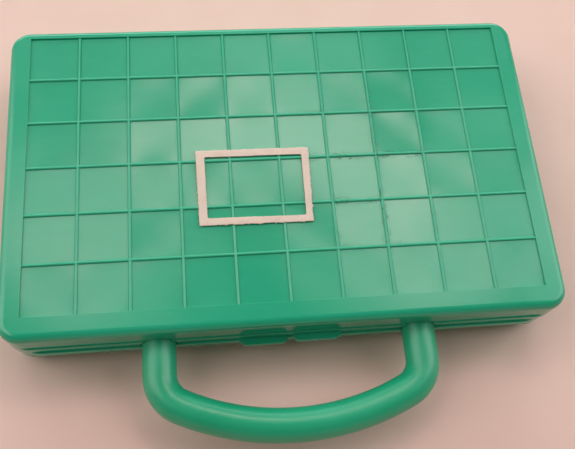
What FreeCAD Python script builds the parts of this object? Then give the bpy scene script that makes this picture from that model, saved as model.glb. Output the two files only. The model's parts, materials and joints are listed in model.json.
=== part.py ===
import FreeCAD, Part
import math
import os

from FreeCAD import Vector

# Two-shell travel case for a fleet guessing game, lying shut on its back shell.
# Millimetres. +X runs along the ribbed lid, +Y from the handle to the hinges, +Z up.
# The origin is on the table under the middle of the case walls.

# Raised grid on the lid
cell_pitch = 22.0
grid_columns = 10
grid_rows = 6
rib_width = 1.6
rib_below_border = 0.2
recess_depth = 0.9
recess_bevel = 0.1
border_side = 9.3
border_front = 9.8
border_rear = 4.2

# Case shells
base_depth = 20.0
lid_depth = 18.0
wall = 2.0
lid_panel = 2.4
base_floor = 2.0
corner_radius = 9.0
lid_edge_rounding = 3.4
base_edge_rounding = 8.0
lid_draft = 0.3
parting_gap = 0.3

# Rims that meet at the parting line
lid_rim_out = 0.8
lid_rim_height = 5.0
lid_rim_corner = 12.0
base_rim_out = 1.6
base_rim_height = 3.4
base_rim_corner = 17.0
rim_rounding = 0.6

# Lip of the base that stands inside the lid wall
lip_thickness = 1.2
lip_height = 2.5
lip_root = 3.0
lip_clearance = 0.3

# Thumb tabs, one on each shell
tab_width = 21.5
tab_spacing = 1.3
tab_reach = 3.8
tab_thickness = 2.2
tab_corner = 3.6
tab_lip_width = 0.8
tab_lip_height = 0.5
tab_lip_rounding = 0.3

# Carry handle
tube_diameter = 14.4
tube_wall = 2.6
leg_spacing = 112.4
grip_reach = 38.3
grip_radius = 112.0
bend_radius = 14.4
collar_height = 2.8
collar_thickness = 2.5
collar_play = 0.2
tube_clearance = 0.1
lid_notch_clearance = 0.4

# Clamps that hold the handle's legs in the base
clamp_length = 8.0
clamp_wall = 2.5
clamp_ear_height = 4.0
clamp_head_clearance = 0.3
clamp_ear_margin = 0.8
leg_overhang = 1.0

# Hinges
hinge_spacing = 156.0
hinge_setback = 1.0
pin_diameter = 3.0
knuckle_diameter = 6.4
lid_knuckle_length = 10.0
base_knuckle_length = 8.0
knuckle_gap = 0.4
pin_running_clearance = 0.05
pin_grip_clearance = 0.02
open_angle = 110.0
stop_drop = 5.5
stop_clearance = 0.25

# Boards with peg holes
board_thickness = 2.0
ocean_boss_height = 8.0
target_boss_height = 5.7
board_clearance = 0.4
board_corner = 4.0
holes_per_side = 10
hole_pitch = 10.5
hole_diameter = 3.0
hole_margin = 14.0

# Screws and their bosses
screw_diameter = 2.6
screw_head_diameter = 5.2
screw_head_height = 1.8
screw_head_rounding = 0.6
screw_drive_length = 3.1
screw_drive_width = 0.8
screw_drive_depth = 0.9
screw_length = 6.5
screw_fit = 0.02
screw_hole_clearance = 0.2
screw_tip_clearance = 0.5
boss_diameter = 6.4
boss_inset = 6.0

# Pegs and their rack
peg_shank_length = 5.0
peg_fit = 0.1
peg_head_diameter = 4.2
peg_head_height = 3.6
peg_head_rounding = 1.2
rack_pitch = 7.5
rack_to_grid = 18.0
hit_peg_rows = 2
miss_peg_rows = 3
rack_gap = 12.0

# Ships
carrier_cells = 5
cruiser_cells = 4
escort_cells = 3
submarine_cells = 3
patrol_cells = 2
ship_end_gap = 2.0
ship_pin_length = 2.6
ship_seat_gap = 0.05
ship_hole_depth = 3.0
dock_gap = 4.0
hull_height = 4.6
hull_flare = 0.9
bow_length = 7.0
stern_length = 2.6
stern_taper = 1.0
carrier_beam = 6.4
cruiser_beam = 8.0
escort_beam = 6.8
patrol_beam = 6.0
flight_deck_width = 8.0
flight_deck_thickness = 1.5
flight_deck_corner = 1.6
tower_length = 5.0
tower_width = 2.0
tower_height = 3.2
cabin_length = 3.4
cabin_width = 4.0
cabin_height = 3.4
cabin_corner = 0.6
turret_diameter = 3.2
turret_height = 1.6
barrel_diameter = 1.1
barrel_length = 3.0
funnel_diameter = 2.8
funnel_height = 3.2
dive_plane_span = 8.0
dive_plane_length = 2.4
dive_plane_thickness = 1.2
keel_width = 2.4

# Paper label frame on the ribs
label_width = 50.4
label_depth = 36.0
label_border = 3.6
label_thickness = 0.4
label_corner = 1.2
label_center_x = -11.9
label_center_y = -10.4

# Depth by which one solid is sunk into another before they are joined
joint_overlap = 0.5

# Smallest radius left where a wall is thicker than the corner it follows
least_corner = 0.5

# Lengths that differ by less than this count as the same
same = 1e-6

# Places worked out from the sizes above
half_width = grid_columns * cell_pitch / 2 + border_side
half_depth = (grid_rows * cell_pitch + border_front + border_rear) / 2
grid_left = -grid_columns * cell_pitch / 2
grid_front = border_front - half_depth
grid_rear = grid_front + grid_rows * cell_pitch
case_height = base_depth + lid_depth
parting_z = base_depth
base_top = parting_z - parting_gap / 2
lid_bottom = parting_z + parting_gap / 2
recess_floor = case_height - recess_depth
panel_underside = recess_floor - lid_panel
rib_top = case_height - rib_below_border
base_rounding = min(base_edge_rounding, corner_radius - least_corner)
lip_outer = wall + lip_clearance
lip_inner = lip_outer + lip_thickness

knuckle_radius = knuckle_diameter / 2
hinge_y = half_depth + max(lid_rim_out, base_rim_out, knuckle_radius) + hinge_setback
hinge_point = Vector(0, hinge_y, parting_z)
hinge_centers = (-hinge_spacing / 2, hinge_spacing / 2)

tube_radius = tube_diameter / 2
leg_places = (-leg_spacing / 2, leg_spacing / 2)
collar_front = lip_inner + collar_play - half_depth
collar_back = collar_front + collar_thickness
clamp_front = collar_back + collar_play
clamp_back = clamp_front + clamp_length
leg_end = clamp_back + leg_overhang
clamp_bore = tube_radius + tube_clearance
clamp_screw_offset = clamp_bore + clamp_wall + clamp_head_clearance + screw_head_diameter / 2
clamp_half_width = clamp_screw_offset + screw_head_diameter / 2 + clamp_ear_margin
clamp_seat = parting_z + clamp_ear_height
clamp_screw_length = clamp_ear_height + screw_length
rims_front = -half_depth - max(lid_rim_out, base_rim_out) - joint_overlap

board_half_width = half_width - lip_inner - board_clearance
board_front = leg_end + board_clearance
board_rear = half_depth - lip_inner - board_clearance
board_middle = (board_front + board_rear) / 2
ocean_board_bottom = base_floor + ocean_boss_height
ocean_board_top = ocean_board_bottom + board_thickness
target_board_top = panel_underside - target_boss_height
target_board_bottom = target_board_top - board_thickness
hole_span = (holes_per_side - 1) * hole_pitch
ocean_hole_left = board_half_width - hole_margin - hole_span
dock_left = hole_margin - board_half_width
dock_rear = board_rear - hole_margin
peg_radius = hole_diameter / 2 - peg_fit
ship_cells = {"carrier_ship": carrier_cells, "cruiser_ship": cruiser_cells, "escort_ship": escort_cells,
              "submarine_ship": submarine_cells, "patrol_ship": patrol_cells}
dock_pitch = max(cruiser_beam, flight_deck_width, dive_plane_span) + dock_gap
rack_rear = dock_rear - (len(ship_cells) - 1) * dock_pitch - rack_gap
rack_columns = int((ocean_hole_left - rack_to_grid - dock_left) / rack_pitch) + 1


def box(x_low, x_high, y_low, y_high, z_low, z_high):
    """A block between two corners."""
    return Part.makeBox(x_high - x_low, y_high - y_low, z_high - z_low, Vector(x_low, y_low, z_low))


def upright(x, y, z_low, z_high, radius):
    """A vertical cylinder."""
    return Part.makeCylinder(radius, z_high - z_low, Vector(x, y, z_low))


def rounded_slab(x_low, x_high, y_low, y_high, z_low, z_high, radius):
    """A block whose four upright edges are rounded."""
    slab = box(x_low, x_high, y_low, y_high, z_low, z_high)
    height = z_high - z_low
    uprights = [edge for edge in slab.Edges if abs(edge.BoundBox.ZLength - height) < same]
    return slab.makeFillet(radius, uprights)


def case_slab(outset, z_low, z_high, corner):
    """The case's outline in plan, grown by outset, between two heights."""
    return rounded_slab(-half_width - outset, half_width + outset, -half_depth - outset, half_depth + outset,
                        z_low, z_high, corner)


def drafted_slab(z_low, z_high, grow):
    """The case's outline between two heights, larger by grow at the lower one so that it leaves its tool."""
    low_x, low_y, height = half_width + grow, half_depth + grow, z_high - z_low
    slab = Part.makeWedge(-low_x, 0, -low_y, -half_depth, -half_width,
                          low_x, height, low_y, half_depth, half_width)
    slab.rotate(Vector(0, 0, 0), Vector(1, 0, 0), 90)
    slab.translate(Vector(0, 0, z_low))
    uprights = [edge for edge in slab.Edges if edge.BoundBox.ZLength > height / 2]
    return slab.makeFillet(corner_radius, uprights)


def inner_slab(inset, z_low, z_high):
    """The case's outline drawn in by inset, so that it stays parallel to the wall round the corners."""
    return case_slab(-inset, z_low, z_high, max(corner_radius - inset, least_corner))


def rounded_at(solid, height, radius):
    """The solid with the edges that lie at one height rounded."""
    level = [edge for edge in solid.Edges
             if abs(edge.BoundBox.ZMin - height) < same and abs(edge.BoundBox.ZMax - height) < same]
    return solid.makeFillet(radius, level)


def joined(first, others):
    """One solid from several that overlap."""
    return first.multiFuse(others).removeSplitter()


def along_y(x, y_low, y_high, radius):
    """A cylinder along Y at the parting plane."""
    return Part.makeCylinder(radius, y_high - y_low, Vector(x, y_low, parting_z), Vector(0, 1, 0))


def on_hinge_axis(x_low, x_high, radius):
    """A cylinder along the hinge axis."""
    return Part.makeCylinder(radius, x_high - x_low, Vector(x_low, hinge_y, parting_z), Vector(1, 0, 0))


def lid_knuckle_span(center):
    """The ends in X of a hinge's middle knuckle, which belongs to the lid."""
    return center - lid_knuckle_length / 2, center + lid_knuckle_length / 2


def base_knuckle_spans(center):
    """The ends in X of a hinge's two outer knuckles, which belong to the base."""
    inner = lid_knuckle_length / 2 + knuckle_gap
    outer = inner + base_knuckle_length
    return (center - outer, center - inner), (center + inner, center + outer)


def rim_notch(x_low, x_high, z_low, z_high):
    """The room that one shell's rear rim leaves for a knuckle of the other."""
    return box(x_low - knuckle_gap, x_high + knuckle_gap, half_depth, hinge_y, z_low, z_high)


def tab_slab(x_low, x_high, y_low, z_low, z_high, corner):
    """A block that runs from the front wall out to y_low, with its two free corners rounded."""
    slab = box(x_low, x_high, y_low, wall / 2 - half_depth, z_low, z_high)
    corners = [edge for edge in slab.Edges
               if abs(edge.BoundBox.YMax - y_low) < same and edge.BoundBox.ZLength > same]
    return slab.makeFillet(corner, corners)


def thumb_tab(x_low, z_low, z_high):
    """A tab that stands out of the front wall through its rim, with a low lip round its free edge."""
    x_high = x_low + tab_width
    front = -half_depth - tab_reach
    lip_top = z_high + tab_lip_height
    tab = tab_slab(x_low, x_high, front, z_low, lip_top, tab_corner)
    hollow = tab_slab(x_low + tab_lip_width, x_high - tab_lip_width, front + tab_lip_width, z_high, lip_top,
                      tab_corner - tab_lip_width)
    behind = box(x_low, x_high, rims_front, wall / 2 - half_depth, z_high, lip_top)
    return rounded_at(tab.cut([hollow, behind]), lip_top, tab_lip_rounding)


def boss_places():
    """Where the screws of either board stand, in plan."""
    edge_x = board_half_width - boss_inset
    return [(x, y) for x in (-edge_x, 0, edge_x) for y in (board_front + boss_inset, board_rear - boss_inset)]


def rib(along_x, place):
    """A straight rib with a round back, its foot sunk into the lid's panel."""
    half = rib_width / 2
    foot = recess_floor - joint_overlap
    if along_x:
        start = Vector(grid_left - joint_overlap, place, 0)
        across = Vector(0, 1, 0)
        run = Vector(2 * (joint_overlap - grid_left), 0, 0)
    else:
        start = Vector(place, grid_front - joint_overlap, 0)
        across = Vector(1, 0, 0)
        run = Vector(0, grid_rear - grid_front + 2 * joint_overlap, 0)
    profile = [(-half, foot), (-half, recess_floor), (0, rib_top), (half, recess_floor), (half, foot)]
    low_left, left, crest, right, low_right = [start + across * side + Vector(0, 0, z) for side, z in profile]
    edges = [Part.LineSegment(low_left, left), Part.Arc(left, crest, right),
             Part.LineSegment(right, low_right), Part.LineSegment(low_right, low_left)]
    return Part.Face(Part.Wire([edge.toShape() for edge in edges])).extrude(run)


def grid_recess():
    """The sunk field that the ribs divide, with a bevel round its mouth."""
    def outline(grow, z):
        x = grow - grid_left
        front = grid_front - grow
        rear = grid_rear + grow
        corners = [(-x, front), (x, front), (x, rear), (-x, rear)]
        return Part.makePolygon([Vector(px, py, z) for px, py in corners + corners[:1]])
    field = box(grid_left, -grid_left, grid_front, grid_rear, recess_floor, case_height)
    bevel_foot = outline(0, case_height - recess_bevel)
    mouth = Part.makeLoft([bevel_foot, outline(recess_bevel, case_height)], True, True)
    return field.fuse(mouth)


def grid_ribs():
    """All the ribs, in both directions."""
    across = [rib(False, grid_left + column * cell_pitch) for column in range(1, grid_columns)]
    along = [rib(True, grid_front + row * cell_pitch) for row in range(1, grid_rows)]
    return across + along


def make_lid_shell():
    """Upper shell: ribbed panel, wall, rim, right thumb tab, screw bosses, middle knuckles and stops."""
    body = rounded_at(drafted_slab(lid_bottom, case_height, lid_draft), case_height, lid_edge_rounding)
    rim_top = lid_bottom + lid_rim_height
    rim = rounded_at(case_slab(lid_rim_out, lid_bottom, rim_top, lid_rim_corner), rim_top, rim_rounding)
    tab = thumb_tab(tab_spacing / 2, lid_bottom, lid_bottom + tab_thickness)
    shell = joined(body, [rim, tab])
    shell = shell.cut([inner_slab(wall, lid_bottom, panel_underside), grid_recess()])
    notch_radius = tube_radius + lid_notch_clearance
    notches = [along_y(x, rims_front, collar_front, notch_radius) for x in leg_places]
    for center in hinge_centers:
        notches += [rim_notch(low, high, lid_bottom, rim_top) for low, high in base_knuckle_spans(center)]
    shell = shell.cut(notches)
    bosses = [upright(x, y, target_board_top, panel_underside + joint_overlap, boss_diameter / 2)
              for x, y in boss_places()]
    knuckles = []
    for center in hinge_centers:
        low, high = lid_knuckle_span(center)
        web = box(low, high, half_depth - wall / 2, hinge_y, lid_bottom, parting_z + knuckle_radius)
        stop = box(low, high, half_depth + stop_clearance, hinge_y, parting_z - stop_drop, parting_z)
        stop.rotate(hinge_point, Vector(1, 0, 0), open_angle)
        knuckles += [on_hinge_axis(low, high, knuckle_radius), web, stop]
    shell = joined(shell, grid_ribs() + bosses + knuckles)
    bore = pin_diameter / 2 + pin_running_clearance
    holes = [on_hinge_axis(*lid_knuckle_span(center), bore) for center in hinge_centers]
    grip = target_board_top + screw_length - board_thickness + screw_tip_clearance
    holes += [upright(x, y, target_board_top, grip, screw_diameter / 2 + screw_fit) for x, y in boss_places()]
    return shell.cut(holes)


def handle_cradle(x):
    """The lower half of a leg's seat, standing on the base's floor."""
    return box(x - clamp_half_width, x + clamp_half_width, clamp_front, clamp_back,
               base_floor - joint_overlap, parting_z)


def clamp_screw_places():
    """Where the clamp screws stand, in plan."""
    y = (clamp_front + clamp_back) / 2
    return [(x + side * clamp_screw_offset, y) for x in leg_places for side in (-1, 1)]


def base_lip():
    """The ring inside the lid wall that keeps the two shells in line, with its root on the base wall."""
    root = inner_slab(wall - joint_overlap, base_top - lip_root, base_top)
    ring = inner_slab(lip_outer, base_top - lip_root, base_top + lip_height)
    return root.fuse(ring).cut(inner_slab(lip_inner, base_top - lip_root, base_top + lip_height))


def make_base_shell():
    """Lower shell: tray, rim, lip, left thumb tab, handle seats, screw bosses and outer knuckles."""
    body = rounded_at(inner_slab(0, 0, base_top), 0, base_rounding)
    rim_bottom = base_top - base_rim_height
    rim = rounded_at(case_slab(base_rim_out, rim_bottom, base_top, base_rim_corner), base_top, rim_rounding)
    tab = thumb_tab(-tab_spacing / 2 - tab_width, base_top - tab_thickness, base_top)
    shell = joined(body, [rim, tab])
    hollow = rounded_at(inner_slab(wall, base_floor, base_top), base_floor, base_rounding - wall)
    notches = [rim_notch(*lid_knuckle_span(center), rim_bottom, base_top) for center in hinge_centers]
    shell = shell.cut([hollow] + notches)
    bosses = [upright(x, y, base_floor - joint_overlap, ocean_board_bottom, boss_diameter / 2)
              for x, y in boss_places()]
    cradles = [handle_cradle(x) for x in leg_places]
    knuckles = []
    for center in hinge_centers:
        for low, high in base_knuckle_spans(center):
            web = box(low, high, half_depth - wall / 2, hinge_y, parting_z - knuckle_radius, base_top)
            knuckles += [on_hinge_axis(low, high, knuckle_radius), web]
    shell = joined(shell, [base_lip()] + bosses + cradles + knuckles)
    holes = [along_y(x, rims_front, clamp_back, clamp_bore) for x in leg_places]
    bore = pin_diameter / 2 + pin_grip_clearance
    holes += [on_hinge_axis(*span, bore) for center in hinge_centers for span in base_knuckle_spans(center)]
    screw_bore = screw_diameter / 2 + screw_fit
    grip = ocean_board_bottom - (screw_length - board_thickness) - screw_tip_clearance
    holes += [upright(x, y, grip, ocean_board_bottom, screw_bore) for x, y in boss_places()]
    grip = clamp_seat - clamp_screw_length - screw_tip_clearance
    holes += [upright(x, y, grip, parting_z, screw_bore) for x, y in clamp_screw_places()]
    return shell.cut(holes)


def handle_path():
    """The handle's centre line: two straight legs, two bends and the bowed grip."""
    leg_x = leg_spacing / 2
    grip_y = -half_depth - grip_reach
    grip_center = Vector(0, grip_y + grip_radius, parting_z)
    bend_x = leg_x - bend_radius
    reach = grip_radius - bend_radius
    bend_y = grip_center.y - math.sqrt(reach ** 2 - bend_x ** 2)
    bend_center = Vector(bend_x, bend_y, parting_z)
    outward = (bend_center - grip_center).normalize()
    meeting = grip_center + outward * grip_radius
    half_way = (outward + Vector(1, 0, 0)).normalize()
    bend_middle = bend_center + half_way * bend_radius

    def mirrored(point):
        return Vector(-point.x, point.y, point.z)

    bend_start = Vector(leg_x, bend_y, parting_z)
    inner_end = Vector(leg_x, leg_end, parting_z)
    apex = Vector(0, grip_y, parting_z)
    edges = [Part.LineSegment(mirrored(inner_end), mirrored(bend_start)),
             Part.Arc(mirrored(bend_start), mirrored(bend_middle), mirrored(meeting)),
             Part.Arc(mirrored(meeting), apex, meeting),
             Part.Arc(meeting, bend_middle, bend_start),
             Part.LineSegment(bend_start, inner_end)]
    return Part.Wire([edge.toShape() for edge in edges])


def swept_bar(path, radius):
    """A round bar along the path."""
    section = Part.Wire([Part.makeCircle(radius, path.Vertexes[0].Point, Vector(0, 1, 0))])
    return path.makePipeShell([section], True, False)


def make_carry_handle():
    """Hollow tube with a collar on each leg, inside the case wall."""
    path = handle_path()
    tube = swept_bar(path, tube_radius)
    collars = [along_y(x, collar_front, collar_back, tube_radius + collar_height) for x in leg_places]
    return joined(tube, collars).cut(swept_bar(path, tube_radius - tube_wall))


def make_handle_clamp(x):
    """Arched strap over a leg, with an ear on each side for its screw."""
    arch = along_y(x, clamp_front, clamp_back, clamp_bore + clamp_wall)
    ears = box(x - clamp_half_width, x + clamp_half_width, clamp_front, clamp_back, parting_z, clamp_seat)
    lower_half = box(x - clamp_half_width, x + clamp_half_width, clamp_front, clamp_back,
                     parting_z - clamp_half_width, parting_z)
    strap = joined(arch, [ears]).cut([lower_half, along_y(x, clamp_front, clamp_back, clamp_bore)])
    bore = screw_diameter / 2 + screw_hole_clearance
    holes = [upright(px, py, parting_z, clamp_seat, bore) for px, py in clamp_screw_places()]
    return strap.cut(holes)


def screw(x, y, seat_z, length, upwards):
    """A pan-head screw: its head lies on the seat and its shank runs the other way."""
    direction = 1 if upwards else -1
    shank = Part.makeCylinder(screw_diameter / 2, length, Vector(x, y, seat_z), Vector(0, 0, direction))
    head = Part.makeCylinder(screw_head_diameter / 2, screw_head_height,
                             Vector(x, y, seat_z), Vector(0, 0, -direction))
    crown = [edge for edge in head.Edges
             if abs(edge.BoundBox.ZMin - seat_z + direction * screw_head_height) < same
             and edge.BoundBox.ZLength < same]
    head = head.makeFillet(screw_head_rounding, crown)
    crown_z = seat_z - direction * screw_head_height
    low = crown_z - screw_drive_depth
    high = crown_z + screw_drive_depth
    reach = screw_drive_length / 2
    side = screw_drive_width / 2
    cross = [box(x - reach, x + reach, y - side, y + side, low, high),
             box(x - side, x + side, y - reach, y + reach, low, high)]
    return shank.fuse(head).cut(cross).removeSplitter()


def make_hinge_pin(center):
    """Steel pin through a hinge's three knuckles."""
    spans = base_knuckle_spans(center)
    return on_hinge_axis(spans[0][0], spans[1][1], pin_diameter / 2)


def grid_holes(left, bottom, top):
    """The square of peg holes in a board, as cylinders."""
    front = board_middle - hole_span / 2
    return [upright(left + column * hole_pitch, front + row * hole_pitch, bottom, top, hole_diameter / 2)
            for column in range(holes_per_side) for row in range(holes_per_side)]


def rack_places(first_row, rows):
    """Where the pegs of some rows of the rack stand, in plan."""
    return [(dock_left + column * rack_pitch, rack_rear - row * rack_pitch)
            for row in range(first_row, first_row + rows) for column in range(rack_columns)]


def dock_rows():
    """Each ship's name, its count of cells, and the row of the dock where it lies."""
    return [(name, cells, dock_rear - row * dock_pitch)
            for row, (name, cells) in enumerate(ship_cells.items())]


def ship_pin_places(cells, y):
    """Where a docked ship's two pins stand, in plan."""
    return [(dock_left, y), (dock_left + (cells - 1) * hole_pitch, y)]


def board_plate(bottom, top):
    """A board's plate with the clearance holes for its screws."""
    plate = rounded_slab(-board_half_width, board_half_width, board_front, board_rear,
                         bottom, top, board_corner)
    bore = screw_diameter / 2 + screw_hole_clearance
    return plate.cut([upright(x, y, bottom, top, bore) for x, y in boss_places()])


def make_ocean_board():
    """Board in the base: the player's own grid, the peg rack and the dock for the ships."""
    places = rack_places(0, hit_peg_rows + miss_peg_rows)
    for name, cells, y in dock_rows():
        places += ship_pin_places(cells, y)
    holes = grid_holes(ocean_hole_left, ocean_board_bottom, ocean_board_top)
    holes += [upright(x, y, ocean_board_bottom, ocean_board_top, hole_diameter / 2) for x, y in places]
    return board_plate(ocean_board_bottom, ocean_board_top).cut(holes)


def make_target_board():
    """Board in the lid: the grid on which shots are marked."""
    holes = grid_holes(-hole_span / 2, target_board_bottom, target_board_top)
    return board_plate(target_board_bottom, target_board_top).cut(holes)


def peg(x, y):
    """A marker peg standing in a hole of the ocean board."""
    head_top = ocean_board_top + peg_head_height
    head = upright(x, y, ocean_board_top, head_top, peg_head_diameter / 2)
    head = rounded_at(head, head_top, peg_head_rounding)
    return head.fuse(upright(x, y, ocean_board_top - peg_shank_length, ocean_board_top, peg_radius))


def hull(length, beam, z_low, z_high):
    """A hull that flares from keel to deck, with a narrowed stern and a pointed bow, its middle at X = 0."""
    def outline(inset, z):
        half = beam / 2 - inset
        stern = inset - length / 2
        bow = length / 2 - inset
        shoulder = bow - bow_length
        quarter = stern + stern_length
        corners = [(stern, stern_taper - half), (quarter, -half), (shoulder, -half), (bow, 0),
                   (shoulder, half), (quarter, half), (stern, half - stern_taper)]
        return Part.makePolygon([Vector(px, py, z) for px, py in corners + corners[:1]])
    return Part.makeLoft([outline(hull_flare, z_low), outline(0, z_high)], True, True)


def deck_block(x, y, length, width, deck, height):
    """A block on a ship's deck, with rounded corners."""
    return rounded_slab(x - length / 2, x + length / 2, y - width / 2, y + width / 2,
                        deck - joint_overlap, deck + height, cabin_corner)


def turret(x, deck):
    """A gun turret with one barrel towards the bow."""
    drum = upright(x, 0, deck - joint_overlap, deck + turret_height, turret_diameter / 2)
    root = Vector(x, 0, deck + turret_height / 2)
    barrel = Part.makeCylinder(barrel_diameter / 2, barrel_length, root, Vector(1, 0, 0))
    return drum.fuse(barrel)


def carrier_parts(length, keel, deck):
    """Slim hull under a wide flight deck with a tower at one side."""
    half_cell = hole_pitch / 2
    flight_deck = rounded_slab(-length / 2, length / 2, -flight_deck_width / 2, flight_deck_width / 2,
                               deck - flight_deck_thickness, deck, flight_deck_corner)
    tower_y = (flight_deck_width - tower_width) / 2
    tower = deck_block(half_cell, tower_y, tower_length, tower_width, deck, tower_height)
    return [hull(length, carrier_beam, keel, deck - flight_deck_thickness / 2), flight_deck, tower]


def cruiser_parts(length, keel, deck):
    """Broad hull with a bridge amidships and a turret before and behind it."""
    bridge = deck_block(0, 0, cabin_length, cabin_width, deck, cabin_height)
    turrets = [turret(x, deck) for x in (hole_pitch, -hole_pitch)]
    return [hull(length, cruiser_beam, keel, deck), bridge] + turrets


def escort_parts(length, keel, deck):
    """Lean hull with one turret and a funnel."""
    half_cell = hole_pitch / 2
    funnel = upright(-half_cell, 0, deck - joint_overlap, deck + funnel_height, funnel_diameter / 2)
    return [hull(length, escort_beam, keel, deck), turret(half_cell, deck), funnel]


def submarine_parts(length, keel, deck):
    """Round hull on a flat keel, with a tower and a pair of dive planes at the stern."""
    radius = hull_height / 2
    straight = length / 2 - radius
    middle = keel + radius
    body = Part.makeCylinder(radius, 2 * straight, Vector(-straight, 0, middle), Vector(1, 0, 0))
    ends = [Part.makeSphere(radius, Vector(side * straight, 0, middle)) for side in (-1, 1)]
    keel_bar = box(-straight, straight, -keel_width / 2, keel_width / 2, keel, middle)
    tower = deck_block(hole_pitch / 2, 0, tower_length, tower_width, deck, tower_height)
    planes = box(-straight, dive_plane_length - straight, -dive_plane_span / 2, dive_plane_span / 2,
                 middle - dive_plane_thickness / 2, middle + dive_plane_thickness / 2)
    return [body] + ends + [keel_bar, tower, planes]


def patrol_parts(length, keel, deck):
    """Small hull with a cabin."""
    cabin = deck_block(0, 0, cabin_length, cabin_width, deck, cabin_height)
    return [hull(length, patrol_beam, keel, deck), cabin]


def make_ship(name, cells, y):
    """A docked ship with two pins underneath and a peg hole for each cell it covers."""
    keel = ocean_board_top + ship_seat_gap
    deck = keel + hull_height
    length = cells * hole_pitch - ship_end_gap
    shape_of = {"carrier_ship": carrier_parts, "cruiser_ship": cruiser_parts, "escort_ship": escort_parts,
                "submarine_ship": submarine_parts, "patrol_ship": patrol_parts}
    parts = shape_of[name](length, keel, deck)
    middle = Vector(dock_left + (cells - 1) * hole_pitch / 2, y, 0)
    for part in parts:
        part.translate(middle)
    pins = [upright(px, py, keel - ship_pin_length, keel + joint_overlap, peg_radius)
            for px, py in ship_pin_places(cells, y)]
    bottom = deck - ship_hole_depth
    holes = [upright(dock_left + cell * hole_pitch, y, bottom, deck + hull_height, hole_diameter / 2)
             for cell in range(cells)]
    return joined(parts[0], parts[1:] + pins).cut(holes)


def make_label_frame():
    """Paper frame lying on the ribs, with an open middle."""
    x_low = label_center_x - label_width / 2
    x_high = label_center_x + label_width / 2
    y_low = label_center_y - label_depth / 2
    y_high = label_center_y + label_depth / 2
    top = rib_top + label_thickness
    sheet = rounded_slab(x_low, x_high, y_low, y_high, rib_top, top, label_corner)
    window = rounded_slab(x_low + label_border, x_high - label_border,
                          y_low + label_border, y_high - label_border, rib_top, top, label_corner)
    return sheet.cut(window)


def main():
    os.makedirs("parts", exist_ok=True)
    nodes = {
        "base_shell": make_base_shell(),
        "lid_shell": make_lid_shell(),
        "carry_handle": make_carry_handle(),
        "handle_clamp_left": make_handle_clamp(leg_places[0]),
        "handle_clamp_right": make_handle_clamp(leg_places[1]),
        "clamp_screws": Part.makeCompound([screw(x, y, clamp_seat, clamp_screw_length, False)
                                           for x, y in clamp_screw_places()]),
        "hinge_pin_left": make_hinge_pin(hinge_centers[0]),
        "hinge_pin_right": make_hinge_pin(hinge_centers[1]),
        "ocean_board": make_ocean_board(),
        "ocean_board_screws": Part.makeCompound([screw(x, y, ocean_board_top, screw_length, False)
                                                 for x, y in boss_places()]),
        "target_board": make_target_board(),
        "target_board_screws": Part.makeCompound([screw(x, y, target_board_bottom, screw_length, True)
                                                  for x, y in boss_places()]),
        "hit_pegs": Part.makeCompound([peg(x, y) for x, y in rack_places(0, hit_peg_rows)]),
        "miss_pegs": Part.makeCompound([peg(x, y) for x, y in rack_places(hit_peg_rows, miss_peg_rows)]),
        "label_frame": make_label_frame(),
    }
    for name, cells, y in dock_rows():
        nodes[name] = make_ship(name, cells, y)
    for name, shape in nodes.items():
        shape.exportStep("parts/" + name + ".step")
        print(name, len(shape.Solids), shape.isValid(), round(shape.Volume, 1))


main()
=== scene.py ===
import json

import bpy
import numpy as np
from mathutils import Matrix, Vector


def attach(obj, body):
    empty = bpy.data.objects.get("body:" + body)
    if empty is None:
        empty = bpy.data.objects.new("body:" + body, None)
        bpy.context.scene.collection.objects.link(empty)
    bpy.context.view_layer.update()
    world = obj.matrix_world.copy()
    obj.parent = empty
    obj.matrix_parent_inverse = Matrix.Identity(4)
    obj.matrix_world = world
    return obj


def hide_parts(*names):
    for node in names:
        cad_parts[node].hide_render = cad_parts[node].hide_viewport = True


# Travel case for a fleet guessing game, lying shut on a pale table.
# Metres, in the part's own frame: +X along the lid, +Y from the handle to the hinges, +Z up.

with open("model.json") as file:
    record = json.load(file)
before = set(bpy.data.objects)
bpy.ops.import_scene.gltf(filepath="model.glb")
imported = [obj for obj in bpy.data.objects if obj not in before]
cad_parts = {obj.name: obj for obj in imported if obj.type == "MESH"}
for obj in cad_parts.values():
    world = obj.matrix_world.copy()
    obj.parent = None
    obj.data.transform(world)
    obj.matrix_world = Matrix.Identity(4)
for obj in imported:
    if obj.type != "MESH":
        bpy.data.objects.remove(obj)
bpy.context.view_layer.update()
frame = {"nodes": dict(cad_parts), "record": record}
nodes = frame["nodes"]

MM = 0.001

# Sizes that the solids have too
CELL_PITCH = 22.0 * MM
GRID_LEFT = -110.0 * MM
GRID_FRONT = -63.2 * MM
GRID_CELLS = (10, 6)
RIB_TOP = 37.8 * MM
HOLE_PITCH = 10.5 * MM
HOLES_PER_SIDE = 10
HOLE_FRONT = -41.3 * MM
OCEAN_HOLE_LEFT = 6.9 * MM
OCEAN_BOARD_TOP = 12.0 * MM
TARGET_HOLE_LEFT = -47.25 * MM
TARGET_BOARD_BOTTOM = 27.0 * MM

# Colours of the case's plastic: the tube is a separate moulding of a slightly different batch
SHELL_GREENS = {"body": "#22A780", "pale": "#3DB38E", "deep": "#1CA17A"}
TUBE_GREENS = {"body": "#20A87C", "pale": "#3AB58B", "deep": "#1AA074"}

# Bands beside a rib's middle line, as shares of a cell
CROWN_EDGE = (0.008, 0.022)
FOOT_MIDDLE = 0.033
FOOT_HALF = 0.008

# How far beyond the grid, in cells, a point still counts as on it
GRID_TOLERANCE = 0.001

# Heights between which the lid goes from polished walls to a hazed top, and the walls' share of its roughness
HAZE_RISE = (RIB_TOP - 4 * MM, RIB_TOP - 1.5 * MM)
WALL_POLISH = 0.55

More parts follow.
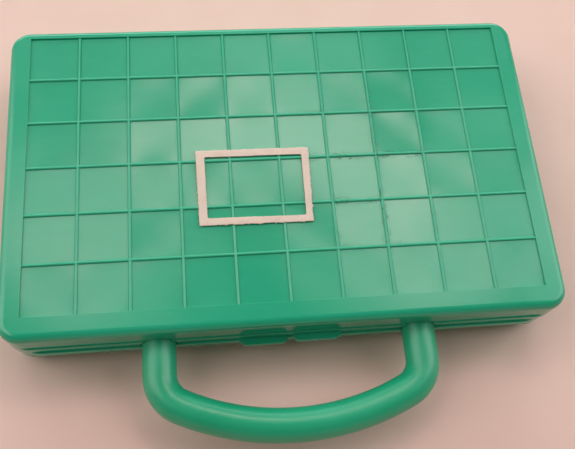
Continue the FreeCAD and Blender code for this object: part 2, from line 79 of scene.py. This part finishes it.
# Old glue beside the label: its middle, and the distances over which it thins out
GLUE_MIDDLE = (38 * MM, -3.5 * MM, RIB_TOP)
GLUE_REACH = (22 * MM, 48 * MM)

# The paper label: corners of its outer and inner edges in millimetres, the steps along each side, and the
# reach of the running mean that rounds the corners
LABEL_OUTER = [(-37.1, 7.7), (13.4, 7.5), (12.7, -28.3), (-36.6, -28.0)]
LABEL_INNER = [(-33.2, 4.4), (10.0, 4.1), (9.7, -25.2), (-33.0, -24.6)]
LABEL_STEPS = 130
OUTER_SMOOTHING = 1
INNER_SMOOTHING = 3

# Its torn edges: how torn each side is, from the rear one on, and depths with whole frequencies round it
LABEL_SEED = 41
LABEL_TORN = [0.35, 0.9, 1.0, 0.55]
TEAR = 0.22 * MM
TEAR_WAVES = [23, 41, 67, 97, 131, 171]
BAY_WAVES = [5, 9, 13, 19]
NICK = 1.0 * MM
NICK_LEVEL = 0.75
NICK_WAVES = [29, 53, 83, 149]
INNER_TEAR = 0.06 * MM
INNER_WAVES = [7, 15, 33, 61]

# Its sheet: the gap over the ribs, the lift in waves, which are given in radians per metre with their start,
# and the section's places from the outer to the inner edge, with their shares of the thickness
PAPER_THICKNESS = 0.2 * MM
PAPER_GAP = 0.02 * MM
PAPER_LIFT = 0.12 * MM
WAVE_ALONG_X = (170, 1.3)
WAVE_ALONG_Y = (140, 0.4)
SECTION_PLACES = [0.0, 0.06, 0.3, 0.7, 0.94, 1.0]
SECTION_HEIGHTS = [0.55, 0.95, 1.0, 1.0, 0.97, 0.8]

# Printed grids: the film's reach above and below a board's face, half a line's width, and the lettering
INK_FILM = 0.03 * MM
HALF_LINE = 0.2 * MM
LETTER_GAP = 3.6 * MM
LETTER_SIZE = 4.6 * MM
LETTER_CURVE_STEPS = 4

# Table
TABLE_HALF = 1.3
TABLE_DROP = 0.02 * MM

# Lamps: name, place, size, power and colour
AIM = Vector((0, 0, 0.02))
NEUTRAL = (1.0, 1.0, 1.0)
WARM = (1.0, 0.75, 0.74)
MILD = (1.0, 0.93, 0.91)
COOL = (0.86, 1.0, 1.0)
LAMPS = [
    ("over_middle", (0.13, 0.54, 1.04), (0.28, 0.16), 1.0, WARM),
    ("over_right", (0.30, 0.40, 1.04), (0.16, 0.20), 0.55, WARM),
    ("far_right", (0.38, 0.28, 1.04), (0.26, 0.24), 0.7, WARM),
    ("over_left", (-0.10, 0.51, 1.04), (0.22, 0.14), 0.54, WARM),
    ("far_left", (-0.28, 0.33, 1.04), (0.22, 0.26), 0.68, WARM),
    ("rear_strip", (0.0, 0.95, 1.2), (2.0, 0.35), 1.5, NEUTRAL),
    ("behind", (0.0, 1.8, 0.7), (2.4, 0.6), 17.5, COOL),
    ("left_side", (-1.5, 0.3, 1.3), (1.6, 1.9), 22.0, MILD),
    ("right_side", (1.5, 0.3, 1.2), (1.2, 1.6), 16.0, NEUTRAL),
]

# Surround: strength at the horizon and overhead, and the direction heights between which it changes
HORIZON_STRENGTH = 0.7
OVERHEAD_STRENGTH = 0.11
HORIZON_END = 0.05
OVERHEAD_START = 0.5

# Camera fitted to the lid's grid in the photograph
SENSOR_WIDTH = 36.0
FOCAL_LENGTH = 46.29
NEAREST_SEEN = 0.01
CAMERA_PLACE = (-0.031176, -0.141525, 0.334425)
CAMERA_RIGHT = (0.993554, -0.083911, 0.076219)
CAMERA_UP = (0.051222, 0.932128, 0.358489)
CAMERA_BACK = (-0.101127, -0.352274, 0.930417)


def linear(code):
    """An sRGB hex colour as the linear red, green, blue and alpha that a shader takes."""
    parts = np.array([int(code[start:start + 2], 16) for start in (1, 3, 5)]) / 255
    curve = np.where(parts <= 0.04045, parts / 12.92, ((parts + 0.055) / 1.055) ** 2.4)
    return (*curve.tolist(), 1.0)


def add(tree, kind, inputs=None, **settings):
    """Adds a node. Settings are its properties; inputs gives a socket a value or another node's output."""
    made = tree.nodes.new("ShaderNode" + kind)
    for name, value in settings.items():
        setattr(made, name, value)
    for name, value in (inputs or {}).items():
        if isinstance(value, bpy.types.NodeSocket):
            tree.links.new(value, made.inputs[name])
        else:
            made.inputs[name].default_value = value
    return made


def per_metre(size_mm):
    """The scale at which a texture's features are about this many millimetres across."""
    return 1 / (size_mm * MM)


def noise(tree, place, size_mm, detail, distortion=0.0):
    """Soft noise from 0 to 1 whose features are about this many millimetres across."""
    inputs = {"Vector": place, "Scale": per_metre(size_mm), "Detail": detail, "Distortion": distortion}
    return add(tree, "TexNoise", inputs).outputs["Fac"]


def stretched(tree, place, scale, turn=0.0):
    """Places scaled by a factor for each axis, and turned about Z."""
    inputs = {"Vector": place, "Scale": scale, "Rotation": (0, 0, turn)}
    return add(tree, "Mapping", inputs).outputs[0]


def ramp(tree, value, low, high, start=0.0, end=1.0):
    """A number that goes from start to end, and stays there, as the value goes from low to high."""
    inputs = {"Value": value, "From Min": low, "From Max": high, "To Min": start, "To Max": end}
    return add(tree, "MapRange", inputs).outputs[0]


def maths(tree, operation, *values):
    """The result of one operation on numbers."""
    return add(tree, "Math", dict(enumerate(values)), operation=operation).outputs[0]


def vectors(tree, operation, *values):
    """The result of one operation on vectors, which is a number where it is a distance."""
    outputs = add(tree, "VectorMath", dict(enumerate(values)), operation=operation).outputs
    return outputs["Value" if operation == "DISTANCE" else "Vector"]


def axes(tree, vector):
    """A vector's three numbers."""
    return add(tree, "SeparateXYZ", {0: vector}).outputs


def blend(tree, share, first, second):
    """The second colour laid over the first one by a share from 0 to 1."""
    return add(tree, "Mix", {0: share, 6: first, 7: second}, data_type="RGBA").outputs[2]


def relief(tree, height, depth_mm, under=None, sunk=False):
    """A bump of this depth, on top of the one under it if there is one."""
    inputs = {"Height": height, "Distance": depth_mm * MM}
    if under:
        inputs["Normal"] = under
    return add(tree, "Bump", inputs, invert=sunk).outputs[0]


def new_material(name, roughness, ior=1.5, metallic=0.0):
    """A material with its shader's constant values; gives it with its tree, shader and Object coordinates."""
    made = bpy.data.materials.new(name)
    made.use_nodes = True
    tree = made.node_tree
    shader = tree.nodes["Principled BSDF"]
    shader.inputs["Roughness"].default_value = roughness
    shader.inputs["IOR"].default_value = ior
    shader.inputs["Metallic"].default_value = metallic
    place = add(tree, "TexCoord").outputs["Object"]
    return made, tree, shader, place


def surface(tree, shader, tone, rough=None, bump=None):
    """Joins a material's colour, roughness and bump to its shader."""
    tree.links.new(tone, shader.inputs["Base Color"])
    if rough:
        tree.links.new(rough, shader.inputs["Roughness"])
    if bump:
        tree.links.new(bump, shader.inputs["Normal"])


def moulded_polystyrene(name, body, pale, deep, roughness, ribbed=False):
    """Glossy injection-moulded polystyrene. Faint clouds and flow streaks in the colour come from the
    melt, and the roughness has hazy patches, fine scratches and specks of grime from handling."""
    made, tree, shader, place = new_material(name, roughness, ior=1.56)
    cloud = noise(tree, place, 45, 3.0)
    tone = blend(tree, ramp(tree, cloud, 0.35, 0.65), linear(deep), linear(body))
    streak = noise(tree, stretched(tree, place, (0.25, 1.0, 1.0), 0.12), 4, 4.0)
    tone = blend(tree, ramp(tree, streak, 0.5, 0.8, 0.0, 0.15), tone, linear(pale))

    # Fine scratches, drawn wider than real ones so that they show
    scratch = noise(tree, stretched(tree, place, (1.0, 0.12, 1.0), 0.7), 0.8, 2.0)
    hazy = ramp(tree, cloud, 0.3, 0.7, roughness - 0.04, roughness + 0.06)
    rough = maths(tree, "MULTIPLY_ADD", ramp(tree, scratch, 0.66, 0.8), 0.06, hazy)

    # Tiny pits and grime specks
    speck = add(tree, "TexVoronoi", {"Vector": place, "Scale": per_metre(5)}).outputs["Distance"]
    grime = maths(tree, "MULTIPLY", ramp(tree, speck, 0.03, 0.07, 1.0, 0.0), ramp(tree, cloud, 0.5, 0.62))
    tone = blend(tree, grime, tone, linear("#17694F"))
    rough = maths(tree, "MULTIPLY_ADD", grime, 0.3, rough)

    bump = relief(tree, noise(tree, place, 2.5, 2.0), 0.012)
    if ribbed:
        tone, rough, bump = ribbed_panel(tree, place, tone, rough, bump)
    surface(tree, shader, tone, rough, bump)
    return made


def ribbed_panel(tree, place, tone, rough, bump):
    """What the ribs do to the lid's plastic. Thin panels dish a little between them, which bends reflections
    from cell to cell, the ribs' crowns have a painted highlight, a painted shade line darkens their feet, and
    glue clings beside them."""
    # Places counted in cells from the grid's corner, free and kept on the grid
    scale = (1 / CELL_PITCH, 1 / CELL_PITCH, 0)
    corner = (-GRID_LEFT / CELL_PITCH, -GRID_FRONT / CELL_PITCH, 0)
    free = add(tree, "Mapping", {"Vector": place, "Scale": scale, "Location": corner}).outputs[0]
    cell = vectors(tree, "MINIMUM", vectors(tree, "MAXIMUM", free, (0, 0, 0)), (*GRID_CELLS, 0))
    on_grid = maths(tree, "LESS_THAN", vectors(tree, "DISTANCE", free, cell), GRID_TOLERANCE)

    # A panel's dish: the product of one minus each offset squared, which is nought at the ribs, times a
    # depth of its own in each cell
    across = vectors(tree, "MULTIPLY_ADD", vectors(tree, "FRACTION", cell), (2, 2, 0), (-1, -1, 0))
    room = axes(tree, vectors(tree, "SUBTRACT", (1, 1, 1), vectors(tree, "MULTIPLY", across, across)))
    own = add(tree, "TexWhiteNoise", {"Vector": vectors(tree, "FLOOR", cell)}).outputs["Value"]
    dish = maths(tree, "MULTIPLY", maths(tree, "MULTIPLY", room[0], room[1]), own)
    bump = relief(tree, dish, 0.3, under=bump, sunk=True)

    # Distance to the nearest rib line in cells
    line = vectors(tree, "FLOOR", vectors(tree, "ADD", cell, (0.5, 0.5, 0)))
    last = (GRID_CELLS[0] - 1, GRID_CELLS[1] - 1, 0)
    line = vectors(tree, "MINIMUM", vectors(tree, "MAXIMUM", line, (1, 1, 0)), last)
    gaps = axes(tree, vectors(tree, "ABSOLUTE", vectors(tree, "SUBTRACT", cell, line)))
    gap = maths(tree, "MINIMUM", gaps[0], gaps[1])

    # Painted highlight: the ribs' crowns get a brighter green than the panel, and a little more roughness
    crown = maths(tree, "MULTIPLY", ramp(tree, gap, *CROWN_EDGE, 1.0, 0.0), on_grid)
    tone = blend(tree, crown, tone, linear("#29B088"))
    rough = maths(tree, "MULTIPLY_ADD", crown, 0.2, rough)

    # Painted shade: a thin darker line along each rib's foot
    painted_foot_shade = maths(tree, "MULTIPLY", maths(tree, "COMPARE", gap, FOOT_MIDDLE, FOOT_HALF), on_grid)
    tone = blend(tree, maths(tree, "MULTIPLY", painted_foot_shade, 0.35), tone, linear("#0F7F5B"))

    # Hands haze the top, while the walls keep the tool's polish
    polish = ramp(tree, axes(tree, place)[2], *HAZE_RISE, WALL_POLISH, 1.0)
    rough = maths(tree, "MULTIPLY", rough, polish)

    # Crumbs of old glue that cling in clusters beside the ribs right of the label
    offset = axes(tree, vectors(tree, "ABSOLUTE", across))
    beside = ramp(tree, maths(tree, "MAXIMUM", offset[0], offset[1]), 0.78, 0.88)
    around = ramp(tree, vectors(tree, "DISTANCE", place, GLUE_MIDDLE), *GLUE_REACH, 1.0, 0.0)
    lump = ramp(tree, noise(tree, place, 0.9, 2.0), 0.58, 0.62)
    cluster = ramp(tree, noise(tree, place, 13, 1.0), 0.5, 0.56)
    dirty = maths(tree, "MULTIPLY", maths(tree, "MULTIPLY", beside, around), lump)
    dirty = maths(tree, "MULTIPLY", dirty, cluster)
    tone = blend(tree, dirty, tone, linear("#1F6B50"))
    rough = maths(tree, "MULTIPLY_ADD", dirty, 0.4, rough)
    bump = relief(tree, dirty, 0.1, under=bump)
    return tone, rough, bump


def satin_moulding(name, body, other, roughness, grain_mm, depth_mm):
    """Moulded plastic from a spark-eroded tool: a fine even grain that takes the shine off, with the
    colour a little uneven from piece to piece."""
    made, tree, shader, place = new_material(name, roughness, ior=1.53)
    tone = blend(tree, noise(tree, place, 18, 3.0), linear(body), linear(other))
    grain = noise(tree, place, grain_mm, 2.0)
    rough = ramp(tree, grain, 0.3, 0.7, roughness - 0.06, roughness + 0.06)
    surface(tree, shader, tone, rough, relief(tree, grain, depth_mm))
    return made


def plated_steel(name, body, other, along):
    """Steel wire or screw under thin zinc: fine drawing lines along one axis and a slightly cloudy shine."""
    made, tree, shader, place = new_material(name, 0.3, metallic=1.0)
    drawn = noise(tree, stretched(tree, place, along), 0.3, 3.0)
    tone = blend(tree, drawn, linear(body), linear(other))
    surface(tree, shader, tone, ramp(tree, drawn, 0.0, 1.0, 0.2, 0.45))
    return made


def torn_paper():
    """Uncoated sticker backing: pale warm fibres in short tangled strokes, matt, with faint stains."""
    made, tree, shader, place = new_material("uncoated_label_paper", 0.85)
    fibre = noise(tree, place, 0.7, 5.0, distortion=1.5)
    tone = blend(tree, fibre, linear("#CDBBAA"), linear("#E4D7C9"))
    soiled = ramp(tree, noise(tree, place, 9, 2.0), 0.5, 0.75, 0.0, 0.35)
    tone = blend(tree, soiled, tone, linear("#C3AB9D"))
    surface(tree, shader, tone, bump=relief(tree, fibre, 0.06))
    return made


def printing_ink():
    """Screen-printed white ink on plastic: thin and slightly uneven, so that the board's green shows
    through in patches."""
    made, tree, shader, place = new_material("white_screen_ink", 0.55)
    thin = ramp(tree, noise(tree, place, 1.5, 4.0), 0.55, 0.75, 0.0, 0.5)
    surface(tree, shader, blend(tree, thin, linear("#E9EFEA"), linear("#9CC4B2")))
    return made


def matt_laminate():
    """Matt table laminate in a pale warm tone, with a barely visible mottle."""
    made, tree, shader, place = new_material("matt_laminate", 0.6)
    mottle = noise(tree, place, 30, 4.0)
    surface(tree, shader, blend(tree, mottle, linear("#DEC1B4"), linear("#E4CABE")))
    return made


def place_mesh(name, points, faces, body, material):
    """Makes a piece from its points and faces, and rides it on a body."""
    mesh = bpy.data.meshes.new(name)
    mesh.from_pydata(points.tolist(), [], faces)
    mesh.materials.append(material)
    mesh.update()
    made = bpy.data.objects.new(name, mesh)
    bpy.context.scene.collection.objects.link(made)
    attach(made, body)
    return made


def torus_faces(rows, columns):
    """Quads of a grid that closes on itself both ways: each point with its next in either direction."""
    row, column = np.meshgrid(np.arange(rows), np.arange(columns), indexing="ij")
    after_row = (row + 1) % rows
    after_column = (column + 1) % columns
    quads = np.stack([row * columns + column, row * columns + after_column,
                      after_row * columns + after_column, after_row * columns + column], axis=-1)
    return quads.reshape(-1, 4)


def outward(points, quads):
    """The quads turned so that the volume they enclose, a sum of tetrahedra from the origin, is positive."""
    a, b, c, d = (points[quads[:, corner]] for corner in range(4))
    volume = (np.cross(a, b) * c).sum() + (np.cross(a, c) * d).sum()
    return quads if volume > 0 else quads[:, ::-1]


def soft_loop(corners, per_side, smoothing):
    """A closed loop through four corners: even steps along each side, then a running mean round the loop,
    which rounds the corners."""
    corners = np.array(corners) * MM
    step = np.arange(per_side)[None, :, None] / per_side
    sides = corners[:, None, :] + (np.roll(corners, -1, axis=0) - corners)[:, None, :] * step
    loop = sides.reshape(-1, 2)
    shifts = range(-smoothing, smoothing + 1)
    return np.mean([np.roll(loop, shift, axis=0) for shift in shifts], axis=0)


def ragged(count, rng, waves, amplitude):
    """A periodic random curve: sines of the given whole frequencies, with random phases and weights."""
    angle = np.linspace(0, 2 * np.pi, count, endpoint=False)
    frequency = np.array(waves)[:, None]
    phase = rng.uniform(0, 2 * np.pi, (len(waves), 1))
    weight = rng.uniform(0.5, 1.0, (len(waves), 1)) / np.sqrt(len(waves))
    return amplitude * (weight * np.sin(frequency * angle + phase)).sum(axis=0)


def torn_label(paper):
    """Paper frame on the ribs. Its width runs from a ragged outer loop to a cleaner inner one, a closed
    section of top and underside is carried round, and the sheet rises and sinks in slow waves."""
    rng = np.random.default_rng(LABEL_SEED)
    count = 4 * LABEL_STEPS
    outer = soft_loop(LABEL_OUTER, LABEL_STEPS, OUTER_SMOOTHING)
    inner = soft_loop(LABEL_INNER, LABEL_STEPS, INNER_SMOOTHING)
    away = outer - inner
    away /= np.linalg.norm(away, axis=1)[:, None]
    tear = ragged(count, rng, TEAR_WAVES, TEAR)
    tear -= np.abs(ragged(count, rng, BAY_WAVES, TEAR))
    nick = np.maximum(ragged(count, rng, NICK_WAVES, 1.0) - NICK_LEVEL, 0) * NICK
    outer = outer + away * ((tear + nick) * np.repeat(LABEL_TORN, LABEL_STEPS))[:, None]
    inner = inner + away * ragged(count, rng, INNER_WAVES, INNER_TEAR)[:, None]
    # The section runs over the top from the outer edge to the inner one, and back along the flat underside
    share = np.array(SECTION_PLACES + SECTION_PLACES[::-1])
    crown = np.array(SECTION_HEIGHTS + [0.0] * len(SECTION_PLACES)) * PAPER_THICKNESS
    flat = outer[:, None, :] * (1 - share)[None, :, None] + inner[:, None, :] * share[None, :, None]
    wave_x = np.sin(flat[..., 0] * WAVE_ALONG_X[0] + WAVE_ALONG_X[1])
    wave_y = np.cos(flat[..., 1] * WAVE_ALONG_Y[0] + WAVE_ALONG_Y[1])
    wave = 0.5 + 0.5 * wave_x * wave_y
    height = RIB_TOP + PAPER_GAP + wave * PAPER_LIFT + crown[None, :]
    points = np.concatenate([flat, height[..., None]], axis=-1).reshape(-1, 3)
    quads = outward(points, torus_faces(count, len(share)))
    made = place_mesh("torn_label", points, quads.tolist(), "lid", paper)
    made.data.polygons.foreach_set("use_smooth", np.ones(len(quads), bool))
    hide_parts("label_frame")


def glyph_mesh(text):
    """Points and faces of a flat piece of lettering, centred on the origin, with a thin ink film's depth."""
    curve = bpy.data.curves.new("glyph", "FONT")
    curve.body = text
    curve.size = LETTER_SIZE
    curve.align_x = "CENTER"
    curve.align_y = "CENTER"
    curve.extrude = INK_FILM
    curve.resolution_u = LETTER_CURVE_STEPS
    holder = bpy.data.objects.new("glyph", curve)
    bpy.context.scene.collection.objects.link(holder)
    bpy.context.view_layer.update()
    mesh = bpy.data.meshes.new_from_object(holder.evaluated_get(bpy.context.evaluated_depsgraph_get()))
    points = np.empty(len(mesh.vertices) * 3)
    mesh.vertices.foreach_get("co", points)
    faces = [list(polygon.vertices) for polygon in mesh.polygons]
    bpy.data.objects.remove(holder)
    bpy.data.curves.remove(curve)
    bpy.data.meshes.remove(mesh)
    return points.reshape(-1, 3), faces


def bar(low, high):
    """The eight corners and six outward quads of a thin bar between two corners."""
    x, y, z = np.meshgrid([low[0], high[0]], [low[1], high[1]], [low[2], high[2]], indexing="ij")
    points = np.stack([x, y, z], axis=-1).reshape(-1, 3)
    faces = [[0, 1, 3, 2], [4, 6, 7, 5], [0, 4, 5, 1], [2, 3, 7, 6], [0, 2, 6, 4], [1, 5, 7, 3]]
    return points, faces


def grid_print(name, body, hole_left, height, facing, material):
    """Printed lines between the peg holes, with numbers along one side and letters down the other. A board
    that faces down is read from below with its front edge at the top, so its Y runs the other way."""
    span = HOLES_PER_SIDE * HOLE_PITCH
    left = hole_left - HOLE_PITCH / 2
    front = HOLE_FRONT - HOLE_PITCH / 2
    pieces = []
    for step in np.arange(HOLES_PER_SIDE + 1) * HOLE_PITCH:
        pieces.append(bar((left + step - HALF_LINE, front - HALF_LINE, height - INK_FILM),
                          (left + step + HALF_LINE, front + span + HALF_LINE, height + INK_FILM)))
        pieces.append(bar((left - HALF_LINE, front + step - HALF_LINE, height - INK_FILM),
                          (left + span + HALF_LINE, front + step + HALF_LINE, height + INK_FILM)))
    turn = np.array([1, facing, facing])
    top = front + span + LETTER_GAP if facing > 0 else front - LETTER_GAP
    for index in range(HOLES_PER_SIDE):
        along = hole_left + index * HOLE_PITCH
        step = HOLES_PER_SIDE - 1 - index if facing > 0 else index
        down = HOLE_FRONT + step * HOLE_PITCH
        for text, x, y in ((str(index + 1), along, top), ("ABCDEFGHIJ"[index], left - LETTER_GAP, down)):
            points, faces = glyph_mesh(text)
            pieces.append((points * turn + np.array([x, y, height]), faces))
    starts = np.cumsum([0] + [len(points) for points, faces in pieces])
    points = np.concatenate([points for points, faces in pieces])
    faces = [[corner + int(start) for corner in face]
             for (_, shape), start in zip(pieces, starts) for face in shape]
    place_mesh(name, points, faces, body, material)


def dress_nodes(paper):
    """Gives every solid its material."""
    lid = moulded_polystyrene("green_polystyrene_ribbed", **SHELL_GREENS, roughness=0.18, ribbed=True)
    finishes = {
        "case_plastic": moulded_polystyrene("green_polystyrene", **SHELL_GREENS, roughness=0.12),
        "handle_plastic": moulded_polystyrene("green_polystyrene_tube", **TUBE_GREENS, roughness=0.32),
        "board_plastic": satin_moulding("green_board_plastic", "#1E8F72", "#23977A", 0.5, 0.5, 0.02),
        "ship_plastic": satin_moulding("grey_ship_plastic", "#6E767B", "#7B8489", 0.42, 0.6, 0.015),
        "red_peg_plastic": satin_moulding("red_peg_plastic", "#B8231C", "#C8322A", 0.33, 0.8, 0.01),
        "white_peg_plastic": satin_moulding("white_peg_plastic", "#E6E2D8", "#EFECE4", 0.33, 0.8, 0.01),
        "pin_steel": plated_steel("drawn_steel_wire", "#8F9193", "#B4B6B7", (0.05, 1.0, 1.0)),
        "screw_steel": plated_steel("zinc_plated_steel", "#9A9C9A", "#BFC0BB", (1.0, 1.0, 0.2)),
        "label_paper": paper,
    }
    slots = {part["node"]: part["material_slot"] for part in frame["record"]["subparts"]}
    for name, solid in nodes.items():
        solid.data.materials.clear()
        solid.data.materials.append(lid if name == "lid_shell" else finishes[slots[name]])


def table_top():
    """Broad flat table under the case."""
    mesh = bpy.data.meshes.new("table_top")
    corners = [(-TABLE_HALF, -TABLE_HALF, 0), (TABLE_HALF, -TABLE_HALF, 0),
               (TABLE_HALF, TABLE_HALF, 0), (-TABLE_HALF, TABLE_HALF, 0)]
    mesh.from_pydata(corners, [], [(0, 1, 2, 3)])
    mesh.materials.append(matt_laminate())
    floor = bpy.data.objects.new("table_top", mesh)
    floor.location.z = -TABLE_DROP
    bpy.context.scene.collection.objects.link(floor)


def softbox(name, place, size, power, colour):
    """A rectangular soft light that faces the middle of the case."""
    lamp = bpy.data.lights.new(name, "AREA")
    lamp.shape = "RECTANGLE"
    lamp.size, lamp.size_y = size
    lamp.energy = power
    lamp.color = colour
    made = bpy.data.objects.new(name, lamp)
    made.location = place
    made.rotation_mode = "QUATERNION"
    made.rotation_quaternion = (AIM - Vector(place)).to_track_quat("-Z", "Y")
    bpy.context.scene.collection.objects.link(made)


def studio():
    """Small warm lamps over the lid, whose sheen its panels show, a strip and a broad lamp behind the case,
    broad lamps at both sides, and a surround that is pale at the horizon and dim overhead."""
    for lamp in LAMPS:
        softbox(*lamp)
    world = bpy.data.worlds.new("pale_room")
    bpy.context.scene.world = world
    world.use_nodes = True
    tree = world.node_tree
    toward = axes(tree, add(tree, "TexCoord").outputs["Generated"])
    strength = ramp(tree, toward[2], HORIZON_END, OVERHEAD_START, HORIZON_STRENGTH, OVERHEAD_STRENGTH)
    surround = tree.nodes["Background"]
    surround.inputs["Color"].default_value = linear("#F3DCCE")
    tree.links.new(strength, surround.inputs["Strength"])


def camera():
    """Camera at the photograph's place: its axes are right, up and back in the part's frame."""
    lens = bpy.data.cameras.new("camera")
    lens.sensor_fit = "HORIZONTAL"
    lens.sensor_width = SENSOR_WIDTH
    lens.lens = FOCAL_LENGTH
    lens.clip_start = NEAREST_SEEN
    made = bpy.data.objects.new("camera", lens)
    turn = Matrix((CAMERA_RIGHT, CAMERA_UP, CAMERA_BACK)).transposed().to_4x4()
    made.matrix_world = Matrix.Translation(CAMERA_PLACE) @ turn
    bpy.context.scene.collection.objects.link(made)
    bpy.context.scene.camera = made


bpy.context.scene.view_settings.view_transform = "Standard"
label_paper = torn_paper()
dress_nodes(label_paper)
torn_label(label_paper)
ink = printing_ink()
grid_print("ocean_grid_print", "base", OCEAN_HOLE_LEFT, OCEAN_BOARD_TOP, 1, ink)
grid_print("target_grid_print", "lid", TARGET_HOLE_LEFT, TARGET_BOARD_BOTTOM, -1, ink)
table_top()
studio()
camera()
